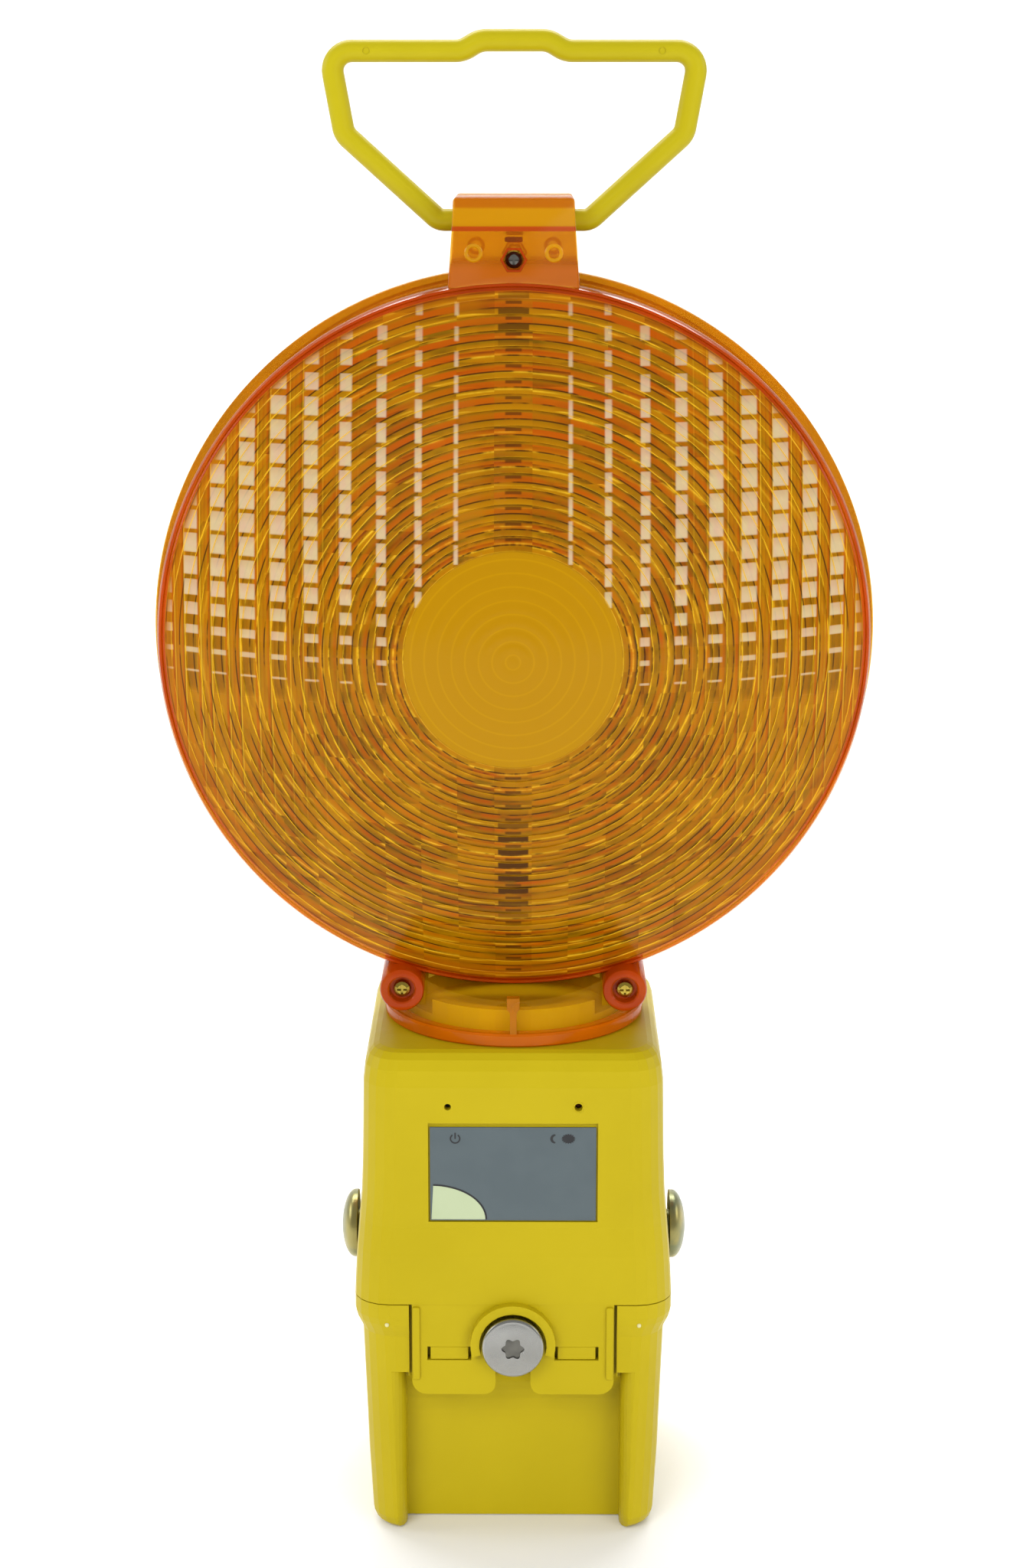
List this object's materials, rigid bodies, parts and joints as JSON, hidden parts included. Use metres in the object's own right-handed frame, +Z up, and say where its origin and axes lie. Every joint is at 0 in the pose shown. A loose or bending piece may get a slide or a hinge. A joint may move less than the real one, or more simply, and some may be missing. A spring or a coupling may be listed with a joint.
{
  "type": "barricade warning lamp",
  "caption": "Amber warning lamp for traffic barriers: round two-sided Fresnel lens head swivelling on a yellow battery housing, with a folding wire carry handle and a steel lock bolt.",
  "frame": {"origin": "centre of the flat base that the lamp stands on", "axes": "+Z up, -Y towards the face with the label and the lock bolt, +X to the right of someone facing it"},
  "size_m": [0.1952, 0.0958, 0.4059],
  "materials": {
    "housing": "fine grained",
    "handle": "satin",
    "lens": "clear amber",
    "lock_steel": "satin",
    "zinc": "yellow passivated zinc on steel",
    "brass": "satin",
    "rubber": "matte",
    "label": "satin print",
    "battery_case": "satin",
    "board": "lacquered",
    "black_plastic": "matte",
    "sensor": "clear dark",
    "led": "clear"
  },
  "bodies": {
    "housing": {"battery_box": "housing", "battery_block": "battery_case", "battery_pad": "rubber", "battery_spring_centre": "lock_steel", "battery_spring_corner": "lock_steel", "lock_insert": "brass"},
    "cover": {"cover_shell": "housing", "cover_gasket": "rubber", "label_plate": "label", "circuit_board": "board", "switch_body": "black_plastic", "light_sensor": "sensor", "contact_carrier": "black_plastic", "contact_plate_centre": "brass", "contact_plate_corner": "brass", "side_bolt_left": "zinc", "side_bolt_right": "zinc", "side_nut_left": "zinc", "side_nut_right": "zinc"},
    "power_button": {"power_button": "black_plastic"},
    "lock_collar": {"lock_washer": "lock_steel"},
    "lock_bolt": {"lock_bolt": "lock_steel"},
    "head": {"front_lens_shell": "lens", "rear_lens_shell": "lens", "lamp_post": "black_plastic", "lamp_board": "board", "led_front": "led", "led_rear": "led", "neck_seal": "rubber", "neck_left_screw": "zinc", "neck_right_screw": "zinc", "neck_left_nut": "zinc", "neck_right_nut": "zinc", "bracket_screw": "lock_steel", "bracket_nut": "lock_steel"},
    "handle": {"carry_handle": "handle"}
  },
  "joints": [
    {"name": "cover_lift", "type": "slide", "parent": "housing", "child": "cover", "axis": [0, 0, 1], "range_m": [0, 0.08]},
    {"name": "lock_travel", "type": "slide", "parent": "housing", "child": "lock_collar", "axis": [0, -1, 0], "range_m": [0, 0.0038]},
    {"name": "lock_turn", "type": "hinge", "parent": "lock_collar", "child": "lock_bolt", "pos_m": [0, -0.0433, 0.0575], "axis": [0, -1, 0], "range_deg": [0, 1080]},
    {"name": "button_press", "type": "slide", "parent": "cover", "child": "power_button", "axis": [0, 1, 0], "range_m": [0, 0.0008], "stiffness_N_per_m": 250},
    {"name": "head_swivel", "type": "hinge", "parent": "cover", "child": "head", "pos_m": [0, 0, 0.1395], "axis": [0, 0, 1], "range_deg": [-90, 90]},
    {"name": "handle_fold", "type": "hinge", "parent": "head", "child": "handle", "pos_m": [0, 0, 0.357], "axis": [1, 0, 0], "range_deg": [-130, 130]}
  ],
  "couplings": [
    {"joint": "lock_travel", "follows": "lock_turn", "m_per_rad": 0.00019894}
  ]
}
